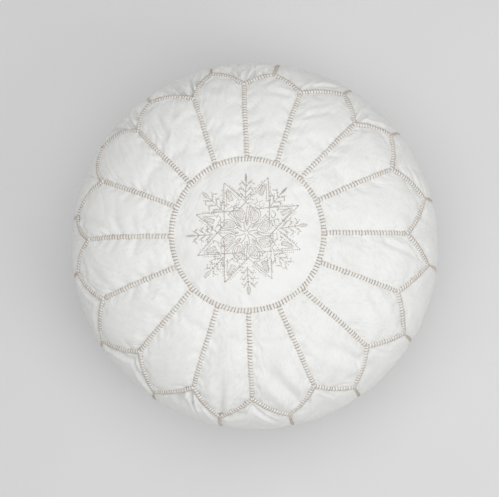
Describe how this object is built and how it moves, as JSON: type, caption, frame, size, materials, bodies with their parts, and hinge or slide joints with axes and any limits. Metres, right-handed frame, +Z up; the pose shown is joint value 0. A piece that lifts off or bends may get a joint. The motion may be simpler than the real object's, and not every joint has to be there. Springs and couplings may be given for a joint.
{
  "type": "leather pouf",
  "caption": "Round stuffed leather floor cushion with an embroidered medallion, petal-shaped top panels, scalloped side panels with raised stitched seams, and a zip in the base.",
  "frame": {"origin": "centre of the flat base, on the floor", "axes": "+Z up; +X along the zip, towards its closed end; +Y across it, from the front half of the base to the back half"},
  "size_m": [0.52, 0.52, 0.3308],
  "materials": {
    "white_leather": "soft matt",
    "seam_thread": "twisted beige thread over a leather edge",
    "embroidery_thread": "matt beige thread",
    "zip_tape": "woven",
    "zip_teeth": "satin",
    "zip_metal": "nickel plated",
    "cotton": "loose wadding"
  },
  "bodies": {
    "cover": {"medallion": "white_leather", "petal_01": "white_leather", "petal_02": "white_leather", "petal_03": "white_leather", "petal_04": "white_leather", "petal_05": "white_leather", "petal_06": "white_leather", "petal_07": "white_leather", "petal_08": "white_leather", "petal_09": "white_leather", "petal_10": "white_leather", "petal_11": "white_leather", "petal_12": "white_leather", "petal_13": "white_leather", "petal_14": "white_leather", "petal_15": "white_leather", "petal_16": "white_leather", "side_panel_01": "white_leather", "side_panel_02": "white_leather", "side_panel_03": "white_leather", "side_panel_04": "white_leather", "side_panel_05": "white_leather", "side_panel_06": "white_leather", "side_panel_07": "white_leather", "side_panel_08": "white_leather", "side_panel_09": "white_leather", "side_panel_10": "white_leather", "side_panel_11": "white_leather", "side_panel_12": "white_leather", "side_panel_13": "white_leather", "side_panel_14": "white_leather", "side_panel_15": "white_leather", "side_panel_16": "white_leather", "base_panel_front": "white_leather", "base_panel_back": "white_leather", "medallion_ring_stitching": "seam_thread", "petal_seam_stitching": "seam_thread", "scallop_stitching": "seam_thread", "side_seam_stitching": "seam_thread", "base_ring_stitching": "seam_thread", "base_centre_stitching": "seam_thread", "medallion_embroidery": "embroidery_thread", "zip_tape_front": "zip_tape", "zip_tape_back": "zip_tape", "zip_teeth_front": "zip_teeth", "zip_teeth_back": "zip_teeth", "zip_top_stops": "zip_teeth", "zip_bottom_stop": "zip_teeth", "cotton_filling": "cotton"},
    "slider": {"zip_slider": "zip_metal"},
    "pull": {"zip_pull": "zip_metal"}
  },
  "joints": [
    {"name": "zip_slide", "type": "slide", "parent": "cover", "child": "slider", "axis": [-1, 0, 0], "range_m": [0, 0.274], "deforming": ["zip_teeth_front", "zip_teeth_back"]},
    {"name": "pull_flip", "type": "hinge", "parent": "slider", "child": "pull", "pos_m": [0.141, 0, 0.00485], "axis": [0, -1, 0], "range_deg": [0, 150]}
  ]
}
